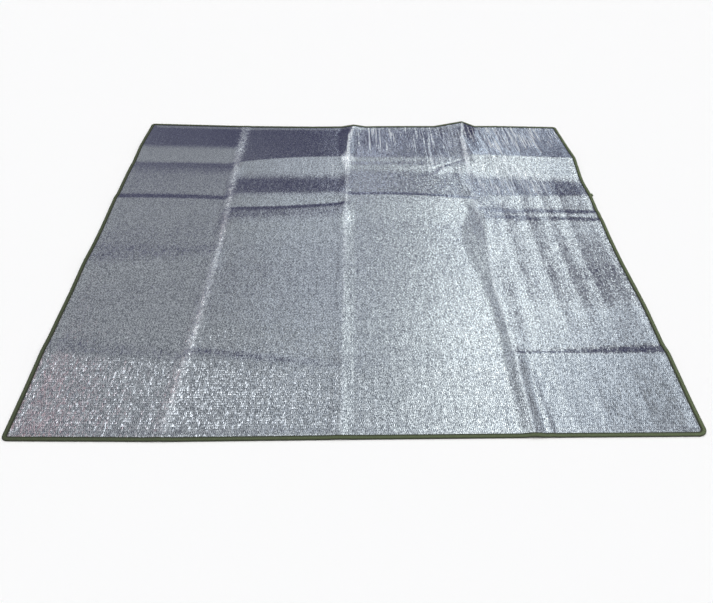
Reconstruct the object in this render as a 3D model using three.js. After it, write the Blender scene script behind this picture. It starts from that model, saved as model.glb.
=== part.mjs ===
// Foil camping mat, opened out on flat ground after having been stored folded.
//
// The mat is a square of thin foam faced with foil, and one folded tape that is sewn round its edge.
// It had been folded into four columns and six rows, so the panels between the creases still bow:
// the folds across each column stand up as low ridges, and three creases run from front to back.
//
// Units are millimetres and +Z is up. The ground is z = 0, and the origin is on it under the middle
// of the mat. -Y is the front edge, where the ends of the tape lap, and +X is the right edge.

import * as THREE from 'three';

// Driving dimensions ---------------------------------------------------------------------------

const SIDE = 2000; // outer size of the mat, both ways
const HALF = SIDE / 2;
const SHEET_THICKNESS = 2.5; // foam with its foil
const TAPE_THICKNESS = 1; // each layer of the folded tape
const TAPE_WIDTH = 15; // how far the tape reaches over each face of the sheet
const TAPE_EDGE = 1.3; // the fold of the tape along the outer edge
const TAPE_CHAMFER = 1.5; // rounding of that fold
const CLEARANCE = 0.3; // between the sheet and the tape

const TAPE_HEIGHT = 2 * (TAPE_THICKNESS + CLEARANCE) + SHEET_THICKNESS;
const SHEET_INSET = TAPE_EDGE + CLEARANCE; // from the outer edge of the tape to the sheet's own edge
const LEVEL_STRIP = 17; // the strip inside the edge that is level across, so that it fits the tape
const FIELD_INSET = 45; // from here inwards the sheet lies on the ground by itself
const TAPE_LIFT = TAPE_THICKNESS + CLEARANCE; // how far the lower layer of the tape lifts the sheet

const CORNERS = [
  { name: 'front right', x: 1, y: -1, radius: 30 },
  { name: 'back right', x: 1, y: 1, radius: 20 },
  { name: 'back left', x: -1, y: 1, radius: 18 },
  { name: 'front left', x: -1, y: -1, radius: 20 },
];
const CORNER_STEPS = 4;

// Folds ----------------------------------------------------------------------------------------

// The folds across each column of panels, from the back edge to the front edge. A fold runs from
// yLeft on the left side of its column to yRight on the right side, bowed by arch in the middle,
// and zLeft and zRight are the heights there. The sheet is straight between one fold and the next.
const COLUMNS = [
  {
    left: -1000,
    right: -530,
    folds: [
      { yLeft: 980, yRight: 980, arch: 0, zLeft: 0, zRight: 0 },
      { yLeft: 745, yRight: 735, arch: 5, zLeft: 11, zRight: 13 },
      { yLeft: 615, yRight: 605, arch: 0, zLeft: 2.8, zRight: 3.6 },
      { yLeft: 540, yRight: 520, arch: 0, zLeft: 6, zRight: 8 },
      { yLeft: 328, yRight: 316, arch: 8, zLeft: 4, zRight: 3 },
      { yLeft: 292, yRight: 282, arch: 6, zLeft: 10, zRight: 6 },
      { yLeft: 60, yRight: 100, arch: 0, zLeft: 1, zRight: 1 },
      { yLeft: -40, yRight: -50, arch: 0, zLeft: 2, zRight: 0 },
      { yLeft: -170, yRight: -115, arch: 0, zLeft: 8, zRight: 2 },
      { yLeft: -330, yRight: -250, arch: 0, zLeft: 1, zRight: 0 },
      { yLeft: -560, yRight: -640, arch: 0, zLeft: 1, zRight: 0 },
      { yLeft: -640, yRight: -690, arch: 0, zLeft: 6.5, zRight: 3 },
      { yLeft: -800, yRight: -780, arch: 0, zLeft: 1, zRight: 0 },
      { yLeft: -960, yRight: -960, arch: 0, zLeft: 0, zRight: 0 },
    ],
  },
  {
    left: -530,
    right: -30,
    folds: [
      { yLeft: 980, yRight: 980, arch: 0, zLeft: 0, zRight: 0 },
      { yLeft: 595, yRight: 642, arch: 20, zLeft: 13, zRight: 19 },
      { yLeft: 485, yRight: 485, arch: 0, zLeft: 3, zRight: 4 },
      { yLeft: 314, yRight: 318, arch: 0, zLeft: 14, zRight: 16 },
      { yLeft: 222, yRight: 262, arch: -10, zLeft: 7, zRight: 8 },
      { yLeft: 194, yRight: 232, arch: -10, zLeft: 9.5, zRight: 11.5 },
      { yLeft: 120, yRight: 150, arch: -10, zLeft: 13, zRight: 12.5 },
      { yLeft: 0, yRight: 0, arch: 0, zLeft: 3.5, zRight: 3.5 },
      { yLeft: -150, yRight: -180, arch: 0, zLeft: 0, zRight: 0 },
      { yLeft: -480, yRight: -520, arch: 0, zLeft: 4, zRight: 2 },
      { yLeft: -612, yRight: -690, arch: 0, zLeft: 0, zRight: 0 },
      { yLeft: -655, yRight: -725, arch: 0, zLeft: 6, zRight: 2 },
      { yLeft: -870, yRight: -850, arch: 0, zLeft: 0, zRight: 0 },
    ],
  },
  {
    left: -30,
    right: 505,
    folds: [
      { yLeft: 980, yRight: 980, arch: 0, zLeft: 0, zRight: 0 },
      { yLeft: 640, yRight: 645, arch: 0, zLeft: 16, zRight: 14.5 },
      { yLeft: 606, yRight: 600, arch: 0, zLeft: 12, zRight: 14.5 },
      { yLeft: 576, yRight: 560, arch: 0, zLeft: 13, zRight: 13.5 },
      { yLeft: 539, yRight: 500, arch: 0, zLeft: 8.5, zRight: 9 },
      { yLeft: 328, yRight: 292, arch: 18, zLeft: 11.5, zRight: 10 },
      { yLeft: 304, yRight: 269, arch: 18, zLeft: 15, zRight: 13.5 },
      { yLeft: 130, yRight: 120, arch: 0, zLeft: 5, zRight: 2 },
      { yLeft: -120, yRight: -150, arch: 0, zLeft: 0, zRight: 0 },
      { yLeft: -640, yRight: -640, arch: 0, zLeft: 0, zRight: 0 },
      { yLeft: -715, yRight: -720, arch: 0, zLeft: 2, zRight: 3 },
      { yLeft: -800, yRight: -800, arch: 0, zLeft: 0, zRight: 0 },
    ],
  },
  {
    left: 505,
    right: 1000,
    folds: [
      { yLeft: 980, yRight: 975, arch: 0, zLeft: 0, zRight: 0 },
      { yLeft: 790, yRight: 750, arch: 0, zLeft: 15, zRight: 15 },
      { yLeft: 648, yRight: 612, arch: 0, zLeft: 27, zRight: 28 },
      { yLeft: 490, yRight: 450, arch: 0, zLeft: 3, zRight: 1.5 },
      { yLeft: 300, yRight: 305, arch: 0, zLeft: 12, zRight: 10.5 },
      { yLeft: 208, yRight: 192, arch: 0, zLeft: 9.5, zRight: 4 },
      { yLeft: 170, yRight: 165, arch: 0, zLeft: 10, zRight: 8 },
      { yLeft: 145, yRight: 140, arch: 0, zLeft: 9.8, zRight: 5 },
      { yLeft: 118, yRight: 112, arch: 0, zLeft: 10, zRight: 8 },
      { yLeft: 0, yRight: -20, arch: 0, zLeft: 4, zRight: 1 },
      { yLeft: -170, yRight: -170, arch: 0, zLeft: 0, zRight: 0 },
      { yLeft: -400, yRight: -430, arch: 0, zLeft: 3, zRight: 9 },
      { yLeft: -648, yRight: -618, arch: 0, zLeft: 2, zRight: 2 },
      { yLeft: -662, yRight: -664, arch: 0, zLeft: 4.5, zRight: 9.5 },
      { yLeft: -850, yRight: -880, arch: 0, zLeft: 0, zRight: 0 },
    ],
  },
];

// The creases between the columns, from the back edge to the front edge. x is the line of the
// crease, z is how far its crest stands above the panels, and left and right are the widths of its
// two flanks.
const CREASES = [
  [
    { y: 1000, x: -527, z: 1, left: 35, right: 35 },
    { y: 720, x: -525, z: 1.5, left: 35, right: 35 },
    { y: 600, x: -525, z: 1.2, left: 35, right: 35 },
    { y: 0, x: -513, z: 1, left: 35, right: 35 },
    { y: -600, x: -527, z: 1.5, left: 35, right: 35 },
    { y: -1000, x: -554, z: 1.5, left: 35, right: 35 },
  ],
  [
    { y: 1000, x: 5, z: 10, left: 60, right: 60 },
    { y: 880, x: -18, z: 8, left: 50, right: 50 },
    { y: 700, x: -24, z: 5, left: 40, right: 40 },
    { y: 650, x: -25, z: 3, left: 40, right: 40 },
    { y: 540, x: -26, z: 1.5, left: 40, right: 40 },
    { y: 0, x: -35, z: 1.5, left: 40, right: 40 },
    { y: -600, x: -40, z: 2, left: 40, right: 40 },
    { y: -1000, x: -45, z: 2, left: 40, right: 40 },
  ],
  [
    { y: 1000, x: 536, z: 27, left: 140, right: 65 },
    { y: 850, x: 518, z: 15, left: 100, right: 65 },
    { y: 650, x: 512, z: 1.5, left: 70, right: 70 },
    { y: 300, x: 500, z: 2, left: 60, right: 60 },
    { y: 200, x: 500, z: 4, left: 30, right: 140 },
    { y: 80, x: 508, z: 8, left: 75, right: 280 },
    { y: 0, x: 512, z: 9, left: 90, right: 280 },
    { y: -150, x: 504, z: 6, left: 70, right: 180 },
    { y: -300, x: 497, z: 4, left: 40, right: 70 },
    { y: -560, x: 506, z: 4.5, left: 35, right: 60 },
    { y: -680, x: 507, z: 4, left: 36, right: 40 },
    { y: -900, x: 507, z: 4, left: 36, right: 40 },
    { y: -1000, x: 507, z: 2.5, left: 36, right: 40 },
  ],
];

const BLEND = 45; // half the width over which one column passes into the next
const ROUNDING = 12; // half the width over which a fold or crest is rounded

// How far each edge stands outside (or, below zero, inside) the square, along the edge.
const OUTLINE = {
  back: [
    { at: -1000, out: 16 },
    { at: -540, out: -12 },
    { at: -200, out: -20 },
    { at: 200, out: -14 },
    { at: 700, out: -14 },
    { at: 1000, out: -26 },
  ],
  front: [
    { at: -1000, out: 10 },
    { at: -540, out: 15 },
    { at: 0, out: 9 },
    { at: 600, out: 4 },
    { at: 1000, out: 2 },
  ],
  left: [
    { at: -1000, out: -4 },
    { at: -500, out: 3 },
    { at: 500, out: 3 },
    { at: 1000, out: -3 },
  ],
  right: [
    { at: -1000, out: 1 },
    { at: 0, out: 1 },
    { at: 600, out: 3 },
    { at: 1000, out: -1 },
  ],
};

// Shape of the sheet ---------------------------------------------------------------------------

const clamp = (value, low, high) => Math.min(high, Math.max(low, value));
const mix = (a, b, t) => a + (b - a) * t;

function smoothStep(value, low, high) {
  const t = clamp((value - low) / (high - low), 0, 1);
  return t * t * (3 - 2 * t);
}

// A hinge: 0 before it and rising 1 in 1 after it, rounded by a parabola over +-round.
function hinge(distance, round) {
  if (distance <= -round) return 0;
  if (distance >= round) return distance;
  return (distance + round) ** 2 / (4 * round);
}

// The value of a column of a table at a place along it, straight between its rows.
function along(rows, key, place, field) {
  const ordered = rows[0][key] < rows[rows.length - 1][key] ? rows : [...rows].reverse();
  const next = ordered.findIndex((row) => row[key] >= place);
  if (next === 0) return ordered[0][field];
  if (next < 0) return ordered[ordered.length - 1][field];
  const before = ordered[next - 1];
  const after = ordered[next];
  return mix(before[field], after[field], (place - before[key]) / (after[key] - before[key]));
}

// Height of a column at (x, y): a straight slope from fold to fold, turned at each by a hinge.
function columnHeight(column, x, y) {
  const t = clamp((x - column.left) / (column.right - column.left), 0, 1);
  const folds = column.folds.map((fold) => ({
    y: mix(fold.yLeft, fold.yRight, t) + fold.arch * 4 * t * (1 - t),
    z: mix(fold.zLeft, fold.zRight, t),
  }));
  let height = folds[0].z;
  let slope = 0;
  for (let i = 0; i < folds.length; i += 1) {
    const here = folds[i];
    const next = folds[i + 1];
    const slopeAfter = next ? (next.z - here.z) / (here.y - next.y) : 0;
    height += (slopeAfter - slope) * hinge(here.y - y, ROUNDING);
    slope = slopeAfter;
  }
  return height;
}

// Height that a crease adds at (x, y): a ridge with two straight flanks.
function creaseHeight(crease, x, y) {
  const distance = x - along(crease, 'y', y, 'x');
  const left = along(crease, 'y', y, 'left');
  const right = along(crease, 'y', y, 'right');
  const rise = hinge(distance + left, ROUNDING) / left;
  const turn = hinge(distance, ROUNDING) * (1 / left + 1 / right);
  const fall = hinge(distance - right, ROUNDING) / right;
  return along(crease, 'y', y, 'z') * (rise - turn + fall);
}

// Height of the folded mat over the ground at (x, y), before the tape lifts its edge.
function relief(x, y) {
  let height = 0;
  for (let i = 0; i < COLUMNS.length; i += 1) {
    const from = i === 0 ? 1 : smoothStep(x - along(CREASES[i - 1], 'y', y, 'x'), -BLEND, BLEND);
    const to = i === CREASES.length ? 0 : smoothStep(x - along(CREASES[i], 'y', y, 'x'), -BLEND, BLEND);
    if (from > to) height += (from - to) * columnHeight(COLUMNS[i], x, y);
  }
  for (const crease of CREASES) height += creaseHeight(crease, x, y);
  return Math.max(0, height);
}

// How far the uneven outline moves a point of the square, growing from the middle to the edge.
function outlineShift(x, y) {
  const side = x < 0 ? -along(OUTLINE.left, 'at', y, 'out') : along(OUTLINE.right, 'at', y, 'out');
  const end = y < 0 ? -along(OUTLINE.front, 'at', x, 'out') : along(OUTLINE.back, 'at', x, 'out');
  return { x: side * (x / HALF) ** 2, y: end * (y / HALF) ** 2 };
}

// Lines of the mesh ----------------------------------------------------------------------------

const EDGE_LINE = HALF - FIELD_INSET;
const CREASE_MARGIN = 35;

// Evenly spaced places from one value to another, both ends included.
function spaced(from, to, steps) {
  return Array.from({ length: steps + 1 }, (_, i) => mix(from, to, i / steps));
}

// Lines that run from front to back: a few across each panel and three at each crease.
const PANEL_STEPS = 5;
const creaseLines = COLUMNS.slice(1).map((column) => column.left);
const X_LINES = [-EDGE_LINE];
for (const x of [...creaseLines, EDGE_LINE + CREASE_MARGIN]) {
  X_LINES.push(...spaced(X_LINES.at(-1), x - CREASE_MARGIN, PANEL_STEPS).slice(1));
  if (x < EDGE_LINE) X_LINES.push(x, x + CREASE_MARGIN);
}

// Lines that run from left to right: one at the middle of each fold, and more where those are far
// apart. Folds that nearly line up share a line.
const SHARED_WITHIN = 18;
const WIDEST_GAP = 80;

function makeFoldLines() {
  const places = COLUMNS.flatMap((column) => column.folds.map((fold) => (
    mix(fold.yLeft, fold.yRight, 0.5) + fold.arch)));
  const kept = [-EDGE_LINE];
  for (const y of places.sort((a, b) => a - b)) {
    if (y > kept.at(-1) + SHARED_WITHIN && y < EDGE_LINE - SHARED_WITHIN) kept.push(y);
  }
  kept.push(EDGE_LINE);
  return kept.flatMap((y, i) => {
    if (i === 0) return [y];
    return spaced(kept[i - 1], y, Math.ceil((y - kept[i - 1]) / WIDEST_GAP)).slice(1);
  });
}

const Y_LINES = makeFoldLines();

// The stations round the edge, anticlockwise seen from above. Each is a place on the outer edge of
// the square with round corners, the direction that points inwards there, and the height and shift
// of the mat at that place, which the whole level strip shares.
function makeStations() {
  const places = [];
  const sides = [
    { lines: X_LINES, at: (s) => ({ x: s, y: -HALF }), inwards: { x: 0, y: 1 } },
    { lines: Y_LINES, at: (s) => ({ x: HALF, y: s }), inwards: { x: -1, y: 0 } },
    { lines: [...X_LINES].reverse(), at: (s) => ({ x: s, y: HALF }), inwards: { x: 0, y: -1 } },
    { lines: [...Y_LINES].reverse(), at: (s) => ({ x: -HALF, y: s }), inwards: { x: 1, y: 0 } },
  ];
  sides.forEach((side, index) => {
    for (const s of side.lines) places.push({ ...side.at(s), inwards: side.inwards, corner: -1 });
    const corner = CORNERS[index];
    const centre = {
      x: corner.x * (HALF - corner.radius),
      y: corner.y * (HALF - corner.radius),
    };
    for (let step = 0; step <= CORNER_STEPS; step += 1) {
      const angle = (index - 1 + step / CORNER_STEPS) * (Math.PI / 2);
      const out = { x: Math.cos(angle), y: Math.sin(angle) };
      places.push({
        x: centre.x + corner.radius * out.x,
        y: centre.y + corner.radius * out.y,
        inwards: { x: -out.x, y: -out.y },
        corner: index,
      });
    }
  });
  return places.map((place) => {
    const x = place.x + place.inwards.x * LEVEL_STRIP;
    const y = place.y + place.inwards.y * LEVEL_STRIP;
    return { ...place, height: relief(x, y), shift: outlineShift(x, y) };
  });
}

const STATIONS = makeStations();

// The point that lies inset from the outer edge at a station, and rise above the mat's own height.
function edgePoint(station, inset, rise) {
  return [
    station.x + station.inwards.x * inset + station.shift.x,
    station.y + station.inwards.y * inset + station.shift.y,
    station.height + rise,
  ];
}

// Solids ---------------------------------------------------------------------------------------

// A mesh of shared corner points and triangles, which the functions below fill.
class Shell {
  constructor() {
    this.points = [];
    this.triangles = [];
  }

  point(place) {
    this.points.push(...place);
    return this.points.length / 3 - 1;
  }

  // A flat-sided face whose corners are given anticlockwise seen from outside.
  face(corners) {
    for (let i = 2; i < corners.length; i += 1) {
      this.triangles.push(corners[0], corners[i - 1], corners[i]);
    }
  }

  geometry() {
    const geometry = new THREE.BufferGeometry();
    geometry.setAttribute('position', new THREE.Float32BufferAttribute(this.points, 3));
    geometry.setIndex(this.triangles);
    geometry.computeVertexNormals();
    return geometry;
  }
}

// One face of the sheet: the field on its lines, then the level strip with its round corners.
// The upper face points up and the lower face, upside down, points down. The result is the line of
// points along its outer edge.
function addSheetFace(shell, rise, upwards) {
  const face = (corners) => shell.face(upwards ? corners : [...corners].reverse());
  const field = Y_LINES.map((y) => X_LINES.map((x) => {
    const shift = outlineShift(x, y);
    return shell.point([x + shift.x, y + shift.y, relief(x, y) + rise]);
  }));
  for (let j = 1; j < Y_LINES.length; j += 1) {
    for (let i = 1; i < X_LINES.length; i += 1) {
      face([field[j - 1][i - 1], field[j - 1][i], field[j][i], field[j][i - 1]]);
    }
  }
  const ring = (inset) => STATIONS.map((s) => shell.point(edgePoint(s, inset, rise + TAPE_LIFT)));
  const strip = ring(LEVEL_STRIP);
  const outer = ring(SHEET_INSET);
  const last = { x: X_LINES.length - 1, y: Y_LINES.length - 1 };
  const border = [
    ...field[0],
    ...field.map((row) => row[last.x]),
    ...[...field[last.y]].reverse(),
    ...field.map((row) => row[0]).reverse(),
  ];
  let side = 0; // index along the border of the field, which skips the corner stations
  STATIONS.forEach((station, i) => {
    const next = (i + 1) % STATIONS.length;
    face([outer[i], outer[next], strip[next], strip[i]]);
    const here = border[side];
    if (station.corner < 0 && STATIONS[next].corner < 0) {
      face([strip[i], strip[next], border[side + 1], here]);
      side += 1;
    } else {
      face([strip[i], strip[next], here]);
      if (STATIONS[next].corner < 0) side += 1;
    }
  });
  return outer;
}

function foilSheet() {
  const shell = new Shell();
  const lower = addSheetFace(shell, 0, false);
  const upper = addSheetFace(shell, SHEET_THICKNESS, true);
  lower.forEach((corner, i) => {
    const next = (i + 1) % lower.length;
    shell.face([corner, lower[next], upper[next], upper[i]]);
  });
  return shell.geometry();
}

// The folded tape: a U section, open towards the sheet, carried round all the stations.
function edgeBinding() {
  const inner = TAPE_HEIGHT - TAPE_THICKNESS;
  const section = [
    { inset: TAPE_WIDTH, rise: 0 },
    { inset: TAPE_WIDTH, rise: TAPE_THICKNESS },
    { inset: TAPE_EDGE, rise: TAPE_THICKNESS },
    { inset: TAPE_EDGE, rise: inner },
    { inset: TAPE_WIDTH, rise: inner },
    { inset: TAPE_WIDTH, rise: TAPE_HEIGHT },
    { inset: TAPE_CHAMFER, rise: TAPE_HEIGHT },
    { inset: 0, rise: TAPE_HEIGHT - TAPE_CHAMFER },
    { inset: 0, rise: TAPE_CHAMFER },
    { inset: TAPE_CHAMFER, rise: 0 },
  ];
  const shell = new Shell();
  const rings = STATIONS.map((station) => section.map(({ inset, rise }) => (
    shell.point(edgePoint(station, inset, rise)))));
  rings.forEach((ring, i) => {
    const next = rings[(i + 1) % rings.length];
    ring.forEach((corner, j) => {
      const k = (j + 1) % ring.length;
      shell.face([corner, ring[k], next[k], next[j]]);
    });
  });
  return shell.geometry();
}

// Object ---------------------------------------------------------------------------------------

function piece(name, geometry, material) {
  const mesh = new THREE.Mesh(geometry, new THREE.MeshStandardMaterial(material));
  mesh.name = name;
  return mesh;
}

const mat = new THREE.Group();
mat.name = 'foil_camping_mat';
mat.add(piece('foil_sheet', foilSheet(), { color: 0xb4b6c0, roughness: 0.35, metalness: 0.9 }));
mat.add(piece('edge_binding', edgeBinding(), { color: 0x5f6b45, roughness: 0.85, metalness: 0 }));

export default mat;
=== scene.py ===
"""Foil camping mat: the finished look of a square foam ground mat, faced with foil and bound with
folded tape.

The mat lies opened out after it was stored folded. Three long creases part it into four columns of
panels, and each column bows between its own cross folds. Folds, creases and outline are those of
the construction, with rounder bends, small wrinkles and a finer grid. Sizes in the tables and in
the functions for shapes are in millimetres.
"""

import math
from collections import namedtuple

import bpy
import numpy as np
from mathutils import Matrix


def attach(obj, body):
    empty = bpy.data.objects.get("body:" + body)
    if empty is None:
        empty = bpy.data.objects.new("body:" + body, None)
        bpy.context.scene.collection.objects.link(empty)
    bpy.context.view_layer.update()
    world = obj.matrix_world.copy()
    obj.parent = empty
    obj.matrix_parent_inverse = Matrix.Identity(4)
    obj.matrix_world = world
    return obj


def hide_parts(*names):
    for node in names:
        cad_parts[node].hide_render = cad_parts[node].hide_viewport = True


bl_info = {
    "name": "Foil Camping Mat",
    "version": (1, 0, 0),
    "blender": (4, 5, 0),
    "location": "View3D > Sidebar > Camping Mat",
    "description": "Builds a foil-faced foam mat with its folded tape, stitching and stage",
    "category": "Add Mesh",
}

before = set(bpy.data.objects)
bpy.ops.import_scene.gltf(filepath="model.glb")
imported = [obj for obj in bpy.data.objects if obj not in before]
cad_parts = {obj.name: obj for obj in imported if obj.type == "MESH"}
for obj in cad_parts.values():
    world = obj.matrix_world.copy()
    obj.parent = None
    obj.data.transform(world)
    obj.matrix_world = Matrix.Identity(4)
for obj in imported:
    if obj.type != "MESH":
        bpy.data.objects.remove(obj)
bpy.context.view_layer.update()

MM = 0.001

# Sizes of the mat -----------------------------------------------------------------------------

HALF = 1000  # half the side of the mat
SHEET_THICKNESS = 2.5  # the foam with its foil
LEVEL_STRIP = 17  # the strip inside the edge that is level across, under the tape
FIELD_INSET = 45  # from here inwards the sheet lies on the ground by itself
EDGE_LINE = HALF - FIELD_INSET
CLEARANCE = 0.3  # between the sheet and the tape
TAPE_LAYER = 1  # thickness of one layer of the tape
TAPE_EDGE = 1.3  # thickness of the tape's fold at the outer edge
TAPE_LIFT = TAPE_LAYER + CLEARANCE  # how far the tape's lower layer lifts the sheet
TAPE_HEIGHT = 2 * TAPE_LIFT + SHEET_THICKNESS

# The corners in turn from the front right, anticlockwise: the signs of x and y, and the radius.
Corner = namedtuple("Corner", "x y radius")
CORNERS = [Corner(1, -1, 30), Corner(1, 1, 20), Corner(-1, 1, 18), Corner(-1, -1, 20)]

# The folds across each column of panels, from the back edge to the front edge. A fold runs from
# y_left on the left side of its column to y_right on its right side, bowed by arch in the middle,
# and z_left and z_right are the heights there. rounding is half the width of its bend.
Fold = namedtuple("Fold", "y_left y_right arch z_left z_right rounding", defaults=[12])
Column = namedtuple("Column", "left right folds")
COLUMNS = [
    Column(-1000, -530, [
        Fold(980, 980, 0, 0, 0),
        Fold(745, 735, 5, 11, 13, 25),
        Fold(615, 605, 0, 2.8, 3.6),
        Fold(540, 520, 0, 6, 8, 45),
        Fold(328, 316, 8, 4, 3, 8),
        Fold(292, 282, 6, 10, 6, 6),
        Fold(60, 100, 0, 1, 1, 60),
        Fold(-40, -50, 0, 2, 0),
        Fold(-170, -115, 0, 8, 2, 30),
        Fold(-330, -250, 0, 1, 0, 40),
        Fold(-560, -640, 0, 1, 0, 20),
        Fold(-640, -690, 0, 6.5, 3),
        Fold(-800, -780, 0, 1, 0, 40),
        Fold(-960, -960, 0, 0, 0),
    ]),
    Column(-530, -30, [
        Fold(980, 980, 0, 0, 0),
        Fold(595, 642, 20, 13, 19, 5),
        Fold(485, 485, 0, 3, 4, 40),
        Fold(314, 318, 0, 14, 16, 24),
        Fold(222, 262, -10, 7, 8, 6),
        Fold(194, 232, -10, 9.5, 11.5, 10),
        Fold(120, 150, -10, 13, 12.5, 30),
        Fold(0, 0, 0, 3.5, 3.5, 60),
        Fold(-150, -180, 0, 0, 0, 30),
        Fold(-480, -520, 0, 4, 2, 40),
        Fold(-612, -690, 0, 0, 0, 10),
        Fold(-655, -725, 0, 6, 2, 15),
        Fold(-870, -850, 0, 0, 0, 40),
    ]),
    Column(-30, 505, [
        Fold(980, 980, 0, 0, 0),
        Fold(640, 645, 0, 16, 14.5),
        Fold(606, 600, 0, 12, 14.5),
        Fold(576, 560, 0, 13, 13.5),
        Fold(539, 500, 0, 8.5, 9, 20),
        Fold(328, 292, 18, 11.5, 10, 3),
        Fold(304, 269, 18, 15, 13.5, 3),
        Fold(130, 120, 0, 5, 2, 50),
        Fold(-120, -150, 0, 0, 0, 40),
        Fold(-640, -640, 0, 0, 0, 20),
        Fold(-715, -720, 0, 2, 3, 25),
        Fold(-800, -800, 0, 0, 0, 20),
    ]),
    Column(505, 1000, [
        Fold(980, 975, 0, 0, 0),
        Fold(790, 750, 0, 15, 15, 60),
        Fold(648, 612, 0, 27, 28, 8),
        Fold(490, 450, 0, 3, 1.5, 40),
        Fold(300, 305, 0, 12, 10.5, 10),
        Fold(208, 192, 0, 9.5, 4, 11),
        Fold(170, 165, 0, 10, 8, 11),
        Fold(145, 140, 0, 9.8, 5, 11),
        Fold(118, 112, 0, 10, 8, 11),
        Fold(0, -20, 0, 4, 1, 40),
        Fold(-170, -170, 0, 0, 0, 40),
        Fold(-400, -430, 0, 3, 9, 40),
        Fold(-648, -618, 0, 2, 2, 12),
        Fold(-662, -664, 0, 4.5, 9.5, 6),
        Fold(-850, -880, 0, 0, 0, 40),
    ]),
]

# The creases between the columns, from the back edge to the front edge: the line of the crease,
# how far its crest stands above the panels, the widths of its two flanks, and how strongly and how
# far to either side the film is crumpled.
CreaseRow = namedtuple("CreaseRow", "y x z left right crumple spread")
CREASES = [
    [
        CreaseRow(1000, -527, 1, 35, 35, 0.50, 28),
        CreaseRow(720, -525, 1.5, 35, 35, 0.55, 26),
        CreaseRow(600, -525, 1.2, 35, 35, 0.60, 18),
        CreaseRow(0, -513, 1, 35, 35, 0.55, 17),
        CreaseRow(-600, -527, 1.5, 35, 35, 0.50, 22),
        CreaseRow(-1000, -554, 1.5, 35, 35, 0.32, 24),
    ],
    [
        CreaseRow(1000, 5, 10, 60, 60, 0.8, 9),
        CreaseRow(880, -18, 8, 50, 50, 0.8, 9),
        CreaseRow(700, -24, 5, 40, 40, 0.9, 10),
        CreaseRow(650, -25, 3, 40, 40, 0.8, 26),
        CreaseRow(600, -25, 2, 40, 40, 0.7, 24),
        CreaseRow(540, -26, 1.5, 40, 40, 0.6, 12),
        CreaseRow(0, -35, 1.5, 40, 40, 0.5, 9),
        CreaseRow(-600, -40, 2, 40, 40, 0.25, 7),
        CreaseRow(-1000, -45, 2, 40, 40, 0.25, 7),
    ],
    [
        CreaseRow(1000, 536, 27, 140, 65, 0.9, 6),
        CreaseRow(850, 518, 15, 100, 65, 0.9, 8),
        CreaseRow(650, 512, 1.5, 70, 70, 0.8, 15),
        CreaseRow(480, 506, 2, 60, 60, 0.3, 12),
        CreaseRow(300, 500, 2, 60, 60, 0.4, 12),
        CreaseRow(200, 500, 4, 30, 140, 0.6, 10),
        CreaseRow(80, 508, 8, 75, 280, 0.3, 8),
        CreaseRow(0, 512, 9, 90, 280, 0.3, 8),
        CreaseRow(-150, 504, 6, 70, 180, 0.4, 6),
        CreaseRow(-300, 497, 4, 40, 70, 0.6, 5),
        CreaseRow(-560, 506, 4.5, 35, 60, 0.35, 6),
        CreaseRow(-680, 508, 1, 35, 60, 0.3, 6),
        CreaseRow(-1000, 510, 1, 35, 60, 0.3, 6),
    ],
]
CREST_ROUNDING = 5  # half the width of the bend along a crease
BLEND = 35  # half the width over which one column passes into the next

# Wrinkles inside the panels: a ridge, or with a height below zero a furrow, from one place to
# another and strongest in its middle, the half-width of it, and how strongly the film is crumpled
# along it.
Wrinkle = namedtuple("Wrinkle", "x_from y_from x_to y_to height width crumple", defaults=[0])
WRINKLES = [
    # a furrow and a ridge that leave the right crease aslant, at the back
    Wrinkle(530, 640, 340, 530, -1.5, 12, 0.1),
    Wrinkle(425, 565, 350, 480, 2, 16, 0.2),
    # the two ridges into which the right crease parts at the front
    Wrinkle(506, -610, 506, -1030, 4.5, 36, 0.1),
    Wrinkle(545, -740, 560, -1030, 1.5, 14, 0.1),
    # narrow puckers down the back right panel, and on over the next one
    Wrinkle(618, 1010, 636, 690, 1.4, 11, 0.5),
    Wrinkle(697, 1010, 716, 640, 1.4, 12, 0.6),
    Wrinkle(748, 1010, 766, 660, 1.2, 11, 0.6),
    Wrinkle(842, 1010, 862, 620, 1.3, 12, 0.6),
    Wrinkle(682, 540, 694, 320, 1.0, 11, 0.4),
    Wrinkle(790, 520, 800, 340, 0.8, 10, 0.3),
    # soft ripples down the right panels
    Wrinkle(600, 560, 610, -640, 0.9, 30),
    Wrinkle(690, 560, 705, -640, 1.2, 34),
    Wrinkle(780, 500, 785, -640, 1.0, 30),
    Wrinkle(855, 560, 865, -640, 1.2, 34),
    Wrinkle(620, -680, 640, -990, 0.6, 24),
    Wrinkle(720, -680, 735, -990, 0.6, 26),
    Wrinkle(850, -680, 860, -990, 0.6, 28),
]
WRINKLE_ROUNDING = 4  # half the width of the bends at a wrinkle's crest and feet
WRINKLE_CRUMPLED = 0.6  # how much of a wrinkle's half-width the film is crumpled over

# How far each edge stands outside the square, or inside it where below zero: the places along the
# edge, and the shift at each.
OUTLINE_BACK = ([-1000, -540, -200, 200, 700, 1000], [16, -12, -20, -14, -14, -26])
OUTLINE_FRONT = ([-1000, -540, 0, 600, 1000], [10, 15, 9, 4, 2])
OUTLINE_LEFT = ([-1000, -500, 500, 1000], [-4, 3, 3, -3])
OUTLINE_RIGHT = ([-1000, 0, 600, 1000], [1, 1, 3, -1])


# Shape of the sheet ---------------------------------------------------------------------------

def smooth_step(value, low, high):
    """Rises from 0 at low to 1 at high as 3t^2 - 2t^3."""
    t = np.clip((value - low) / (high - low), 0, 1)
    return t * t * (3 - 2 * t)


def bell(distance, width):
    """1 at a distance of 0, falling off to both sides as e to the -r^2, with r in widths."""
    return np.exp(-(distance / width) ** 2)


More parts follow.
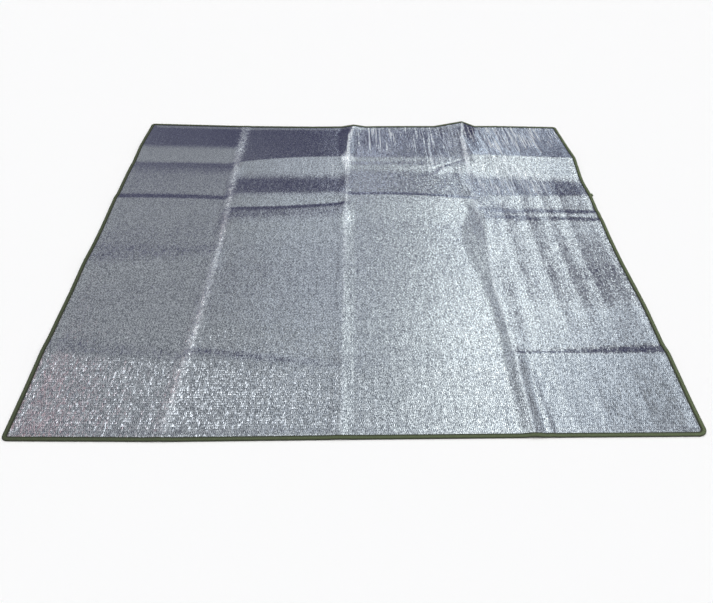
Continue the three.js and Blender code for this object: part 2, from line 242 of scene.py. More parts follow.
def hinge(distance, rounding):
    """0 before a fold and the distance past it after, joined by (d + r)^2 / 4r within r of it."""
    eased = (distance + rounding) ** 2 / (4 * rounding)
    return np.where(distance <= -rounding, 0, np.where(distance >= rounding, distance, eased))


def column_height(column, x, y):
    """Straight slopes from fold to fold, each fold adding its change of slope times a hinge."""
    t = np.clip((x - column.left) / (column.right - column.left), 0, 1)
    lines = [f.y_left + (f.y_right - f.y_left) * t + f.arch * 4 * t * (1 - t) for f in column.folds]
    tops = [f.z_left + (f.z_right - f.z_left) * t for f in column.folds]
    height, slope = tops[0], 0
    for i, fold in enumerate(column.folds):
        slope_after = 0
        if i + 1 < len(column.folds):
            slope_after = (tops[i + 1] - tops[i]) / (lines[i] - lines[i + 1])
        height = height + (slope_after - slope) * hinge(lines[i] - y, fold.rounding)
        slope = slope_after
    return height


def crease_value(crease, y, field):
    """A column of a crease's table at y, straight between its rows."""
    rows = crease[::-1]
    return np.interp(y, [row.y for row in rows], [getattr(row, field) for row in rows])


def crease_height(crease, x, y):
    """A ridge with two straight flanks, of widths left and right, and a rounded crest."""
    distance = x - crease_value(crease, y, "x")
    left, right = crease_value(crease, y, "left"), crease_value(crease, y, "right")
    rise = hinge(distance + left, CREST_ROUNDING) / left
    turn = hinge(distance, CREST_ROUNDING) * (1 / left + 1 / right)
    fall = hinge(distance - right, CREST_ROUNDING) / right
    return crease_value(crease, y, "z") * (rise - turn + fall)


def wrinkle_place(wrinkle, x, y):
    """How far along a wrinkle, from -1 to 1, and how far aside of its line each point lies."""
    along = np.array([wrinkle.x_to - wrinkle.x_from, wrinkle.y_to - wrinkle.y_from], float)
    length = np.hypot(*along)
    along /= length
    dx, dy = x - wrinkle.x_from, y - wrinkle.y_from
    t = np.clip(2 * (dx * along[0] + dy * along[1]) / length - 1, -1, 1)
    return t, dx * along[1] - dy * along[0]


def wrinkle_height(wrinkle, x, y):
    """A tent across the wrinkle's line, times 1 - t^4 from its middle to its ends."""
    t, across = wrinkle_place(wrinkle, x, y)
    rise = hinge(across + wrinkle.width, WRINKLE_ROUNDING)
    turn = 2 * hinge(across, WRINKLE_ROUNDING)
    fall = hinge(across - wrinkle.width, WRINKLE_ROUNDING)
    return wrinkle.height * (rise - turn + fall) / wrinkle.width * (1 - t ** 4)


def crumpling(x, y):
    """How crumpled the film is: a bell across each crease and each wrinkle, the latter times
    1 - t^4 from the wrinkle's middle to its ends."""
    total = np.zeros_like(x)
    for crease in CREASES:
        aside = x - crease_value(crease, y, "x")
        across_crease = bell(aside, crease_value(crease, y, "spread"))
        total += crease_value(crease, y, "crumple") * across_crease
    for wrinkle in WRINKLES:
        t, across = wrinkle_place(wrinkle, x, y)
        across_wrinkle = bell(across, WRINKLE_CRUMPLED * wrinkle.width)
        total += wrinkle.crumple * across_wrinkle * (1 - t ** 4)
    return total


# Where the film is drawn into fine streaks: the middle and half-size of each place, and how
# strongly it is drawn there.
Streak = namedtuple("Streak", "x y half_width half_depth strength")
STREAKS = [
    Streak(690, 860, 150, 210, 1.0),
    Streak(880, 900, 140, 150, 0.8),
    Streak(300, 880, 220, 220, 0.5),
    Streak(80, 840, 110, 170, 0.5),
    Streak(660, 590, 130, 90, 0.4),
    Streak(410, 560, 130, 110, 0.5),
    Streak(700, 420, 180, 130, 0.8),
    Streak(-150, 560, 200, 120, 0.3),
    Streak(700, -400, 300, 700, 0.04),
    Streak(0, -800, 450, 300, 0.1),
]


def streaking(x, y):
    """How streaked the film is: a flat-topped bell, e to the -r^4, over each place."""
    total = np.zeros_like(x)
    for streak in STREAKS:
        r = np.hypot((x - streak.x) / streak.half_width, (y - streak.y) / streak.half_depth)
        total += streak.strength * np.exp(-r ** 4)
    return total


SMOOTH_AT_BACK = 0.65  # how smooth the film lies in the back left corner
LIVELY_AT_FRONT = 0.4  # how much livelier than elsewhere it is at the front left


def smoothness(x, y):
    """How smooth the film lies: 0 on the right, and on the left a smooth step that rises towards
    the back, less a smooth step that rises towards the front."""
    at_left = 1 - smooth_step(x, -500, 300)
    at_back, at_front = smooth_step(y, -200, 900), 1 - smooth_step(y, -800, -450)
    return at_left * (SMOOTH_AT_BACK * at_back - LIVELY_AT_FRONT * at_front)


def relief(x, y):
    """Height of the folded mat over the ground, before the tape lifts its edge: the columns, each
    passing into the next by a smooth step along the crease between them, plus the creases and the
    wrinkles, and never below the ground."""
    share = [smooth_step(x - crease_value(c, y, "x"), -BLEND, BLEND) for c in CREASES]
    share = [np.ones_like(x)] + share + [np.zeros_like(x)]
    height = sum((share[i] - share[i + 1]) * column_height(column, x, y)
                 for i, column in enumerate(COLUMNS))
    height = height + sum(crease_height(crease, x, y) for crease in CREASES)
    height = height + sum(wrinkle_height(wrinkle, x, y) for wrinkle in WRINKLES)
    return np.maximum(height, 0)


def outline_shift(x, y):
    """How far the uneven outline moves a point of the square, as the square of its place."""
    side = np.where(x < 0, -np.interp(y, *OUTLINE_LEFT), np.interp(y, *OUTLINE_RIGHT))
    end = np.where(y < 0, -np.interp(x, *OUTLINE_FRONT), np.interp(x, *OUTLINE_BACK))
    return np.stack([side * (x / HALF) ** 2, end * (y / HALF) ** 2], axis=-1)


# Lines and stations ---------------------------------------------------------------------------

Stations = namedtuple("Stations", "place inwards is_corner height shift distance")


def edge_stations(x_lines, y_lines, corner_steps):
    """Stations round the outer edge, anticlockwise from the front left: one at each line of each
    side, then an arc round the corner. Height and shift are those of the level strip there, and
    distance is how far round the edge each one lies, with the whole way round at the end."""
    sides = [
        (x_lines, lambda s: (s, -HALF + 0 * s), (0, 1)),
        (y_lines, lambda s: (HALF + 0 * s, s), (-1, 0)),
        (x_lines[::-1], lambda s: (s, HALF + 0 * s), (0, -1)),
        (y_lines[::-1], lambda s: (-HALF + 0 * s, s), (1, 0)),
    ]
    place, inwards, is_corner = [], [], []
    for index, (lines, put, normal) in enumerate(sides):
        place.append(np.stack(put(lines), axis=-1))
        inwards.append(np.tile(normal, (len(lines), 1)))
        corner = CORNERS[index]
        angle = (index - 1 + np.arange(corner_steps + 1) / corner_steps) * math.pi / 2
        out = np.stack([np.cos(angle), np.sin(angle)], axis=-1)
        centre = np.array([corner.x, corner.y]) * (HALF - corner.radius)
        place.append(centre + corner.radius * out)
        inwards.append(-out)
        is_corner += [False] * len(lines) + [True] * (corner_steps + 1)
    place, inwards = np.concatenate(place), np.concatenate(inwards)
    strip = place + inwards * LEVEL_STRIP
    step = np.linalg.norm(np.roll(place, -1, axis=0) - place, axis=1)
    return Stations(
        place, inwards, np.array(is_corner), relief(strip[:, 0], strip[:, 1]),
        outline_shift(strip[:, 0], strip[:, 1]), np.concatenate([[0], np.cumsum(step)]),
    )


def edge_points(stations, inset, rise):
    """Points inset from the outer edge at the stations, and rise above the mat's own height."""
    flat = stations.place + stations.inwards * inset + stations.shift
    return np.column_stack([flat, stations.height + rise])


def make_object(name, points, quads, triangles, corner_uv, material):
    """A smooth-shaded mesh object at the origin, from points in millimetres and arrays of faces."""
    mesh = bpy.data.meshes.new(name)
    loops = np.concatenate([quads.ravel(), triangles.ravel()]).astype(np.int32)
    starts = np.concatenate([
        np.arange(len(quads)) * 4,
        len(quads) * 4 + np.arange(len(triangles)) * 3,
    ]).astype(np.int32)
    mesh.vertices.add(len(points))
    mesh.vertices.foreach_set("co", (points * MM).astype(np.float32).ravel())
    mesh.loops.add(len(loops))
    mesh.loops.foreach_set("vertex_index", loops)
    mesh.polygons.add(len(starts))
    mesh.polygons.foreach_set("loop_start", starts)
    mesh.polygons.foreach_set("use_smooth", np.ones(len(starts), bool))
    uv_map = mesh.uv_layers.new(name="flat")
    uv_map.data.foreach_set("uv", (corner_uv * MM).astype(np.float32).ravel())
    mesh.update(calc_edges=True)
    mesh.validate()
    mesh.materials.append(material)
    made = bpy.data.objects.new(name, mesh)
    bpy.context.scene.collection.objects.link(made)
    return made


NO_TRIANGLES = np.zeros((0, 3), int)


# Materials ------------------------------------------------------------------------------------

def linear(hex_colour):
    """An sRGB hex colour as linear red, green, blue and an alpha of 1."""
    parts = [int(hex_colour[i:i + 2], 16) / 255 for i in (1, 3, 5)]
    curve = [c / 12.92 if c <= 0.04045 else ((c + 0.055) / 1.055) ** 2.4 for c in parts]
    return (*curve, 1)


def add_node(tree, kind, inputs=None, **settings):
    """Adds a node with its settings. inputs gives each socket a value or the output it links to."""
    node = tree.nodes.new(kind)
    for name, value in settings.items():
        setattr(node, name, value)
    for socket, value in (inputs or {}).items():
        if isinstance(value, bpy.types.NodeSocket):
            tree.links.new(value, node.inputs[socket])
        else:
            node.inputs[socket].default_value = value
    return node


def new_material(name):
    """An empty node material and its tree."""
    material = bpy.data.materials.new(name)
    material.use_nodes = True
    material.node_tree.nodes.clear()
    return material, material.node_tree


WAVE_UNIT = 0.314  # a Wave texture of this scale has one wave for each metre
MIDDLE = (0.5, 0.5, 0.5)  # of a pattern's colour, so that less this it leans both ways alike


def tilt(tree, colour, amount, strength=1):
    """A lean of the surface: a pattern's colour less its middle, times an amount for each axis and
    a strength."""
    both_ways = add_node(tree, "ShaderNodeVectorMath", {0: colour, 1: MIDDLE},
                         operation="SUBTRACT")
    lean = add_node(tree, "ShaderNodeVectorMath", {0: both_ways.outputs[0], 1: amount},
                    operation="MULTIPLY")
    return add_node(tree, "ShaderNodeVectorMath", {0: lean.outputs[0], "Scale": strength},
                    operation="SCALE").outputs[0]


def cells(tree, flat, yarn, size):
    """A random colour for each cell on the flat sheet, with the cell's size in yarn widths."""
    width, length = size
    place = add_node(tree, "ShaderNodeMapping", {
        "Vector": flat, "Scale": (1 / (width * yarn), 1 / (length * yarn), 1)})
    return add_node(tree, "ShaderNodeTexVoronoi", {"Vector": place.outputs[0], "Scale": 1},
                    voronoi_dimensions="2D").outputs["Color"]


# How far the film leans to the right and to the back, as a slope, for each thing that tilts it:
# its bulge over a float, the float's own way, a pucker, a streak, and the facets where it is
# crumpled.
BULGE_LEAN, FLOAT_LEAN, PUCKER_LEAN = (0.05, 0.08, 0), (0.07, 0.13, 0), (0.05, 0.02, 0)
STREAK_LEAN, FACET_LEAN, LARGE_FACET_LEAN = (0.7, 0.2, 0), (0.5, 0.5, 0), (0.35, 0.35, 0)
PUCKER_SIZE, FACET_SIZE, LARGE_FACET_SIZE = (1.2, 15), (0.6, 1.2), (1.2, 2.4)  # in yarn widths
STREAK_WIDTH, STREAK_LENGTH = 0.01, 0.25  # in metres
STREAK_TURN = math.radians(3)  # from the warp
YARN_TO_FLOAT = 0.3  # a yarn's width as a share of a float's length
SLACK_EVERY = 9  # yarns from one slack one to the next
CHECKED, UNEVEN = 0.65, 0.5  # how much of the weave's pattern is checked, and how much uneven
UNEVEN_CELLS = (1, 2.6, 1)  # for each float, across and along it


def laminated_foil(settings):
    """Aluminium foil laminated over a woven scrim, satin and glittery: the film over each float of
    a yarn is a small mirror that leans its own way. The floats' colour is partly uneven tone and
    partly
    painted: painted glints on some floats and painted shade over the gaps between the yarns. Longer
    puckers and streaks run along the warp. Along the creases the film is crumpled into facets that
    lean strongly, so they sparkle."""
    material, tree = new_material("Laminated aluminium foil over woven scrim")
    flat = add_node(tree, "ShaderNodeTexCoord").outputs["UV"]
    yarn = settings.yarn_width
    wander = add_node(tree, "ShaderNodeTexNoise", {"Vector": flat, "Scale": 3},
                      noise_dimensions="2D")
    both_ways = add_node(tree, "ShaderNodeVectorMath", {0: wander.outputs["Color"], 1: MIDDLE},
                         operation="SUBTRACT")
    wandering = add_node(tree, "ShaderNodeVectorMath", {
        0: both_ways.outputs[0], 1: (1.5 * yarn, 2 * yarn, 0), 2: flat}, operation="MULTIPLY_ADD")
    # The real yarns are about 1.5 mm wide. They are drawn nearly twice that, at the width in the
    # settings, as coarse as they need to show.
    place = add_node(tree, "ShaderNodeMapping", {
        "Vector": wandering.outputs[0], "Scale": (1 / yarn, YARN_TO_FLOAT / yarn, 1)})
    across = add_node(tree, "ShaderNodeMapping", {
        "Vector": place.outputs[0], "Location": (0, 0.5, 0.5), "Scale": (1, 0, 0)})
    warp = add_node(tree, "ShaderNodeTexChecker", {
        "Vector": across.outputs[0], "Scale": 1, "Color1": (1, 1, 1, 1), "Color2": (0, 0, 0, 1)})
    crossing = add_node(tree, "ShaderNodeVectorMath", {0: place.outputs[0]}, operation="FLOOR")
    within = add_node(tree, "ShaderNodeVectorMath", {0: place.outputs[0]}, operation="FRACTION")
    random = add_node(tree, "ShaderNodeTexWhiteNoise", {"Vector": crossing.outputs[0]},
                      noise_dimensions="2D")
    # The film glitters more over slack yarns.
    slack = add_node(tree, "ShaderNodeTexWave", {
        "Vector": wandering.outputs[0], "Scale": WAVE_UNIT / (SLACK_EVERY * yarn),
        "Distortion": 0.5})
    looseness = add_node(tree, "ShaderNodeMapRange", {
        "Value": slack.outputs["Fac"], "To Min": 0.7, "To Max": 1.3})
    # Where the film lies smooth, its small mirrors lean less and its colour is more even.
    smooth = add_node(tree, "ShaderNodeAttribute", attribute_name="smoothness").outputs["Fac"]
    lively_share = add_node(tree, "ShaderNodeMath", {0: 1, 1: smooth}, operation="SUBTRACT")
    restless = add_node(tree, "ShaderNodeMath", {
        0: looseness.outputs[0], 1: lively_share.outputs[0]}, operation="MULTIPLY")

    # The film is drawn into long streaks, and the sharpest of them are crumpled as well.
    streaked = add_node(tree, "ShaderNodeAttribute", attribute_name="streaking")
    drawn_out = add_node(tree, "ShaderNodeMapping", {
        "Vector": flat, "Rotation": (0, 0, STREAK_TURN),
        "Scale": (1 / STREAK_WIDTH, 1 / STREAK_LENGTH, 1)})
    streak = add_node(tree, "ShaderNodeTexNoise", {
        "Vector": drawn_out.outputs[0], "Scale": 1, "Detail": 2, "Roughness": 0.6,
        "Distortion": 0.4}, noise_dimensions="2D")
    line = add_node(tree, "ShaderNodeMapRange", {
        "Value": streak.outputs["Fac"], "From Min": 0.54, "From Max": 0.64,
        "To Min": 0, "To Max": 1.5})
    lined = add_node(tree, "ShaderNodeMath", {
        0: line.outputs[0], 1: streaked.outputs["Fac"]}, operation="MULTIPLY")

    creased = add_node(tree, "ShaderNodeAttribute", attribute_name="crumpling")
    patchy = add_node(tree, "ShaderNodeTexNoise", {
        "Vector": flat, "Scale": 60, "Detail": 3, "Roughness": 0.7}, noise_dimensions="2D")
    marked = add_node(tree, "ShaderNodeMath", {
        0: creased.outputs["Fac"], 1: lined.outputs[0]}, operation="ADD")
    spread = add_node(tree, "ShaderNodeMath", {
        0: marked.outputs[0], 1: patchy.outputs["Fac"]}, operation="ADD")
    crumpled = add_node(tree, "ShaderNodeMapRange", {
        "Value": spread.outputs[0], "From Min": 0.7, "From Max": 1.4}).outputs[0]
    pucker, facet, large_facet = [
        cells(tree, flat, yarn, size) for size in (PUCKER_SIZE, FACET_SIZE, LARGE_FACET_SIZE)]
    leans = [
        tilt(tree, within.outputs[0], BULGE_LEAN),
        tilt(tree, random.outputs["Color"], FLOAT_LEAN, restless.outputs[0]),
        tilt(tree, pucker, PUCKER_LEAN, lively_share.outputs[0]),
        tilt(tree, streak.outputs["Color"], STREAK_LEAN, streaked.outputs["Fac"]),
        tilt(tree, facet, FACET_LEAN, crumpled),
        tilt(tree, large_facet, LARGE_FACET_LEAN, crumpled),
    ]
    normal = add_node(tree, "ShaderNodeNewGeometry").outputs["Normal"]
    for lean in leans:
        normal = add_node(tree, "ShaderNodeVectorMath", {0: normal, 1: lean},
                          operation="ADD").outputs[0]
    normal = add_node(tree, "ShaderNodeVectorMath", {0: normal}, operation="NORMALIZE").outputs[0]

    # The floats are painted bright and dull, striped, checked and uneven by turns. This is the
    # film's uneven tone, with painted glints on the floats and painted shade between the yarns.
    checks = add_node(tree, "ShaderNodeTexChecker", {
        "Vector": place.outputs[0], "Scale": 1, "Color1": (1, 1, 1, 1), "Color2": (0, 0, 0, 1)})
    regular = add_node(tree, "ShaderNodeMix", {
        "Factor": CHECKED, "A": warp.outputs["Fac"], "B": checks.outputs["Fac"]})
    fine = add_node(tree, "ShaderNodeVectorMath", {0: place.outputs[0], 1: UNEVEN_CELLS},
                    operation="MULTIPLY")
    fine_cell = add_node(tree, "ShaderNodeVectorMath", {0: fine.outputs[0]}, operation="FLOOR")
    fine_random = add_node(tree, "ShaderNodeTexWhiteNoise", {"Vector": fine_cell.outputs[0]},
                           noise_dimensions="2D")
    lively = add_node(tree, "ShaderNodeMapRange", {
        "Value": fine_random.outputs["Value"], "From Min": 0.3, "From Max": 0.7})
    on_top = add_node(tree, "ShaderNodeMix", {
        "Factor": UNEVEN, "A": regular.outputs["Result"], "B": lively.outputs[0]})
    evened = add_node(tree, "ShaderNodeMix", {
        "Factor": smooth, "A": on_top.outputs["Result"], "B": 0.5})
    woven = add_node(tree, "ShaderNodeMix", {
        "Factor": evened.outputs["Result"], "A": linear(settings.dull_hex),
        "B": linear(settings.bright_hex)}, data_type="RGBA")
    colour = add_node(tree, "ShaderNodeMix", {
        "Factor": crumpled, "A": woven.outputs["Result"], "B": linear(settings.bright_hex)},
        data_type="RGBA")
    metallic = add_node(tree, "ShaderNodeMapRange", {"Value": crumpled, "To Min": 1, "To Max": 0.8})
    roughness = add_node(tree, "ShaderNodeMapRange", {
        "Value": crumpled, "To Min": settings.roughness, "To Max": 0.3})
    shader = add_node(tree, "ShaderNodeBsdfPrincipled", {
        "Base Color": colour.outputs["Result"], "Metallic": metallic.outputs[0],
        "Roughness": roughness.outputs[0], "Normal": normal})
    add_node(tree, "ShaderNodeOutputMaterial", {"Surface": shader.outputs[0]})
    return material


def fill_ramp(ramp, stops):
    """Gives a colour ramp its stops, each a position from 0 to 1 and a colour."""
    while len(ramp.elements) < len(stops):
        ramp.elements.new(0.5)
    for element, (position, colour) in zip(ramp.elements, stops):
        element.position = position
        element.color = colour


# How light the tape is painted, by the way round its section from the inner edge over the top to
# the
# fold: painted shade along the stitches, round the fold and under it, and painted light over the
# top.
Tone = namedtuple("Tone", "across share")
TAPE_TONES = [Tone(0, 0.7), Tone(1.2, 0.2), Tone(3.8, 0.15), Tone(5.4, 1.1), Tone(10.5, 1.2),
              Tone(13.5, 0.6), Tone(16, 0.05), Tone(20, 0)]
TONE_REACH = 20  # as far round as the last tone
RIB_WIDTH = 0.003  # in metres
RIB_TURN = math.radians(55)  # from the tape's length


def woven_tape(settings):
    """Olive polyester binding tape, woven as a twill: matt, with a slanting rib and flecks of
    lighter yarn. Shade along its stitches and its fold, and light towards the right, are painted
    into its colour."""
    material, tree = new_material("Woven polyester binding tape")
    flat = add_node(tree, "ShaderNodeTexCoord").outputs["UV"]
    # The real rib is about 1 mm wide. It is drawn at 3 mm, as coarse as it needs to show.
    turned = add_node(tree, "ShaderNodeMapping", {"Vector": flat, "Rotation": (0, 0, RIB_TURN)})
    rib = add_node(tree, "ShaderNodeTexWave", {
        "Vector": turned.outputs[0], "Scale": WAVE_UNIT / RIB_WIDTH, "Distortion": 1.5, "Detail": 2,
        "Detail Scale": 40})
    fleck = add_node(tree, "ShaderNodeTexNoise", {
        "Vector": flat, "Scale": 400, "Detail": 3, "Roughness": 0.7})
    mixed = add_node(tree, "ShaderNodeMath", {
        0: rib.outputs["Fac"], 1: fleck.outputs["Fac"]}, operation="ADD")
    ribbed = add_node(tree, "ShaderNodeMapRange", {
        "Value": mixed.outputs[0], "From Min": 0.5, "From Max": 1.6})
    # The tape has painted shade along its stitches and its fold, and painted light that grows
    # towards the right.
    across = add_node(tree, "ShaderNodeSeparateXYZ", {0: flat})
    share = add_node(tree, "ShaderNodeMath", {0: across.outputs["Y"], 1: TONE_REACH * MM},
                     operation="DIVIDE")
    tones = add_node(tree, "ShaderNodeValToRGB", {0: share.outputs[0]})
    fill_ramp(tones.color_ramp, [(tone.across / TONE_REACH, (tone.share,) * 3 + (1,))
                                 for tone in TAPE_TONES])
    place = add_node(tree, "ShaderNodeTexCoord").outputs["Object"]
    rightwards = add_node(tree, "ShaderNodeSeparateXYZ", {0: place})
    painted_light_from_right = add_node(tree, "ShaderNodeMapRange", {
        "Value": rightwards.outputs["X"], "From Min": -1, "From Max": 1,
        "To Min": 0.5, "To Max": 1.25})
    lit = add_node(tree, "ShaderNodeMath", {0: ribbed.outputs[0], 1: painted_light_from_right.outputs[0]},
                   operation="MULTIPLY")
    toned = add_node(tree, "ShaderNodeMath", {0: lit.outputs[0], 1: tones.outputs[0]},
                     operation="MULTIPLY")
    colour = add_node(tree, "ShaderNodeMix", {
        "Factor": toned.outputs[0], "A": linear(settings.dark_hex),
        "B": linear(settings.light_hex)}, data_type="RGBA")
    bump = add_node(tree, "ShaderNodeBump", {
        "Height": mixed.outputs[0], "Strength": 0.6, "Distance": 0.0005})
    shader = add_node(tree, "ShaderNodeBsdfPrincipled", {
        "Base Color": colour.outputs["Result"], "Roughness": 0.85,
        "Normal": bump.outputs[0]})
    add_node(tree, "ShaderNodeOutputMaterial", {"Surface": shader.outputs[0]})
    return material


def spun_thread(settings):
    """Spun polyester sewing thread, matt, a little lighter than the tape's darkest yarn."""
    material, tree = new_material("Spun polyester thread")
    shader = add_node(tree, "ShaderNodeBsdfPrincipled", {
        "Base Color": linear(settings.colour_hex), "Roughness": 0.8})
    add_node(tree, "ShaderNodeOutputMaterial", {"Surface": shader.outputs[0]})
    return material


# Settings -------------------------------------------------------------------------------------

class CampingMatSheetSettings(bpy.types.PropertyGroup):
    thickness: bpy.props.FloatProperty(
        name="Thickness", description="Thickness of the foam with its foil",
        default=SHEET_THICKNESS * MM, min=0.001, max=0.005, unit="LENGTH")
    yarn_width: bpy.props.FloatProperty(
        name="Yarn width", description="Width at which the yarns under the foil are drawn",
        default=0.0027, min=0.001, max=0.02, unit="LENGTH")
    cells_across: bpy.props.IntProperty(
        name="Cells across", description="Cells of the grid from left to right, a multiple of five",
        default=320, min=50, max=350)
    cells_along: bpy.props.IntProperty(
        name="Cells along", description="Cells of the grid from front to back, a multiple of five",
        default=260, min=50, max=350)
    roughness: bpy.props.FloatProperty(
        name="Roughness", description="Roughness of the foil between its small mirrors",
        default=0.14, min=0, max=1, subtype="FACTOR")
    # The dull and bright colours hold the film's uneven tone, painted shade between the yarns and
    # painted glints on the floats.
    dull_hex: bpy.props.StringProperty(
        name="Dull colour", description="Colour of the duller floats, sRGB hex", default="#545A64")
    bright_hex: bpy.props.StringProperty(
        name="Bright colour", description="Colour of the brighter floats, sRGB hex",
        default="#F9FEFF")


class CampingMatTapeSettings(bpy.types.PropertyGroup):
    width: bpy.props.FloatProperty(
        name="Width", description="How far the folded tape reaches over each face",
        default=0.015, min=0.005, max=0.016, unit="LENGTH")
    # The dark colour is also the painted shade along the stitches and under the fold.
    dark_hex: bpy.props.StringProperty(
        name="Dark colour", description="Colour between the ribs, sRGB hex", default="#23271A")
    light_hex: bpy.props.StringProperty(
        name="Light colour", description="Colour of the ribs, sRGB hex", default="#707E58")


class CampingMatStitchSettings(bpy.types.PropertyGroup):
    pitch: bpy.props.FloatProperty(
        name="Stitch length", description="Distance from stitch to stitch",
        default=0.0045, min=0.002, max=0.01, unit="LENGTH")
    colour_hex: bpy.props.StringProperty(
        name="Colour", description="Colour of the thread, sRGB hex", default="#3A402B")


class CampingMatStageSettings(bpy.types.PropertyGroup):
    floor_hex: bpy.props.StringProperty(
        name="Floor colour", description="Colour of the floor, sRGB hex", default="#FAFAFA")


# Pieces ---------------------------------------------------------------------------------------

BOTTOM_STRIDE = 5  # the lower face takes every fifth line of the upper one
CORNER_CELLS = 10  # of the upper face, round each corner
EDGE_ROWS = (0.25, 0.5, 0.75)  # shares of the way from the level strip to the field
DENSITY_STEPS = 4000  # of the even steps in which the density is added up

# Where the grid's lines gather: the middle of each place, how wide it is and how dense it gets.
Gather = namedtuple("Gather", "at width density")
X_GATHERS = [
    Gather(-535, 40, 1.5), Gather(-30, 40, 1.5), Gather(505, 45, 1.5), Gather(740, 130, 1.2),
]
Y_GATHERS = [
    Gather(640, 40, 2.5), Gather(560, 40, 2.5), Gather(480, 30, 1), Gather(290, 30, 2.5),
    Gather(220, 30, 1.5), Gather(150, 40, 2), Gather(-645, 30, 1.5), Gather(-700, 30, 1.5),
]


def grid_lines(cells, gathers):
    """Lines from edge to edge of the field, as even steps of a density that is 1 plus a bell at
    each gather."""
    fine = np.linspace(-EDGE_LINE, EDGE_LINE, DENSITY_STEPS)
    density = np.ones_like(fine)
    for gather in gathers:
        density += gather.density * bell(fine - gather.at, gather.width)
    total = np.concatenate([[0], np.cumsum((density[1:] + density[:-1]) / 2)])
    return np.interp(np.linspace(0, total[-1], cells + 1), total, fine)


# One face of the sheet: its points, where they lie on the flat square, its faces as the numbers of
# their points, and the numbers of the points along its edge.
Face = namedtuple("Face", "points flat quads triangles edge")


def sheet_face(x_lines, y_lines, corner_steps, rise):
    """One face of the sheet, at a rise above its lower face: the field on its lines, rows that
    climb by a smooth step to the level strip under the tape, and the edge."""
    x, y = np.meshgrid(x_lines, y_lines)
    flat = np.stack([x, y], axis=-1).reshape(-1, 2)
    height = relief(flat[:, 0], flat[:, 1])
    columns, rows = len(x_lines), len(y_lines)
    number = np.arange(rows * columns).reshape(rows, columns)
    quads = [np.stack([number[:-1, :-1], number[:-1, 1:], number[1:, 1:], number[1:, :-1]],
                      axis=-1).reshape(-1, 4)]
    border = [number[0], number[:, -1], number[-1, ::-1], number[::-1, 0]]
    ends = [np.full(corner_steps + 1, side[-1]) for side in border]
    field = np.concatenate([part for pair in zip(border, ends) for part in pair])

    stations = edge_stations(x_lines, y_lines, corner_steps)
    strip = stations.place + stations.inwards * LEVEL_STRIP
    target = flat[field]
    points = [np.column_stack([flat, height + rise])]
    for share in EDGE_ROWS[::-1]:
        row = strip + (target - strip) * share
        lift = TAPE_LIFT * (1 - smooth_step(share, 0, 1))
        points.append(np.column_stack([row, relief(row[:, 0], row[:, 1]) + rise + lift]))
    lifted = stations.height + rise + TAPE_LIFT
    points.append(np.column_stack([strip, lifted]))
    sheet_edge = stations.place + stations.inwards * (TAPE_EDGE + CLEARANCE)
    points.append(np.column_stack([sheet_edge, lifted]))
    points = np.concatenate(points)
    shift = outline_shift(points[:, 0], points[:, 1])
    shift[-2 * len(strip):] = np.tile(stations.shift, (2, 1))

    # The rings of points run from the field's border outwards, and each joins the next by quads. At
    # a corner the border has one point only, which the first ring meets in a fan of triangles.
    count = len(field)
    rings = [field] + [rows * columns + count * i + np.arange(count)
                       for i in range(len(EDGE_ROWS) + 2)]
    following = np.roll(np.arange(count), -1)
    for inner, outer in zip(rings[1:], rings[2:]):
        quads.append(np.stack([outer, outer[following], inner[following], inner], axis=-1))
    inner, outer = rings[0], rings[1]
    fan = inner == inner[following]
    quads.append(np.stack([outer, outer[following], inner[following], inner], axis=-1)[~fan])
    triangles = np.stack([outer, outer[following], inner], axis=-1)[fan]
    placed = points + np.column_stack([shift, np.zeros(len(points))])
    return Face(placed, points[:, :2], np.concatenate(quads), triangles, rings[-1])


def sheet_wall(top, bottom, sides):
    """The triangles between the edges of the two faces. The lower edge's points lie under every
    fifth point of the upper edge, side by side with the corners, so each lower step is met by a fan
    of upper steps. sides holds the cells along each of the four sides."""
    over, start = [], 0
    for side in sides:
        over.append(start + np.arange(0, side + 1, BOTTOM_STRIDE))
        over.append(start + side + 1 + np.arange(0, CORNER_CELLS + 1, BOTTOM_STRIDE))
        start += side + CORNER_CELLS + 2
    over = np.concatenate(over)
    owner = np.searchsorted(over, np.arange(len(top)), side="right") - 1
    fan = np.stack([np.roll(top, -1), top, bottom[owner]], axis=-1)
    step = np.stack([bottom, np.roll(bottom, -1), top[np.roll(over, -1)]], axis=-1)
    return np.concatenate([fan, step])


class MESH_OT_camping_mat_sheet(bpy.types.Operator):
    """Builds the foil-faced foam sheet"""

    bl_idname = "mesh.camping_mat_sheet"
    bl_label = "Foil Sheet"

    def execute(self, context):
        settings = context.scene.camping_mat_sheet
        x_lines = grid_lines(settings.cells_across, X_GATHERS)
        y_lines = grid_lines(settings.cells_along, Y_GATHERS)
        thickness = settings.thickness / MM
        upper = sheet_face(x_lines, y_lines, CORNER_CELLS, thickness)
        lower = sheet_face(x_lines[::BOTTOM_STRIDE], y_lines[::BOTTOM_STRIDE],
                           CORNER_CELLS // BOTTOM_STRIDE, 0)
        first = len(upper.points)
        points = np.concatenate([upper.points, lower.points])
        flat = np.concatenate([upper.flat, lower.flat])
        wall = sheet_wall(upper.edge, lower.edge + first,
                          (settings.cells_across, settings.cells_along) * 2)
        quads = np.concatenate([upper.quads, lower.quads[:, ::-1] + first])
        triangles = np.concatenate([upper.triangles, lower.triangles[:, ::-1] + first, wall])
        corner_uv = flat[np.concatenate([quads.ravel(), triangles.ravel()])]
        sheet = make_object("mat_sheet", points, quads, triangles, corner_uv,
                            laminated_foil(settings))
        for name, worked_out in (
                ("crumpling", crumpling), ("streaking", streaking), ("smoothness", smoothness)):
            attribute = sheet.data.attributes.new(name, "FLOAT", "POINT")
            value = worked_out(flat[:, 0], flat[:, 1])
            attribute.data.foreach_set("value", value.astype(np.float32))
        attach(sheet, "root")
        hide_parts("foil_sheet")
        return {"FINISHED"}


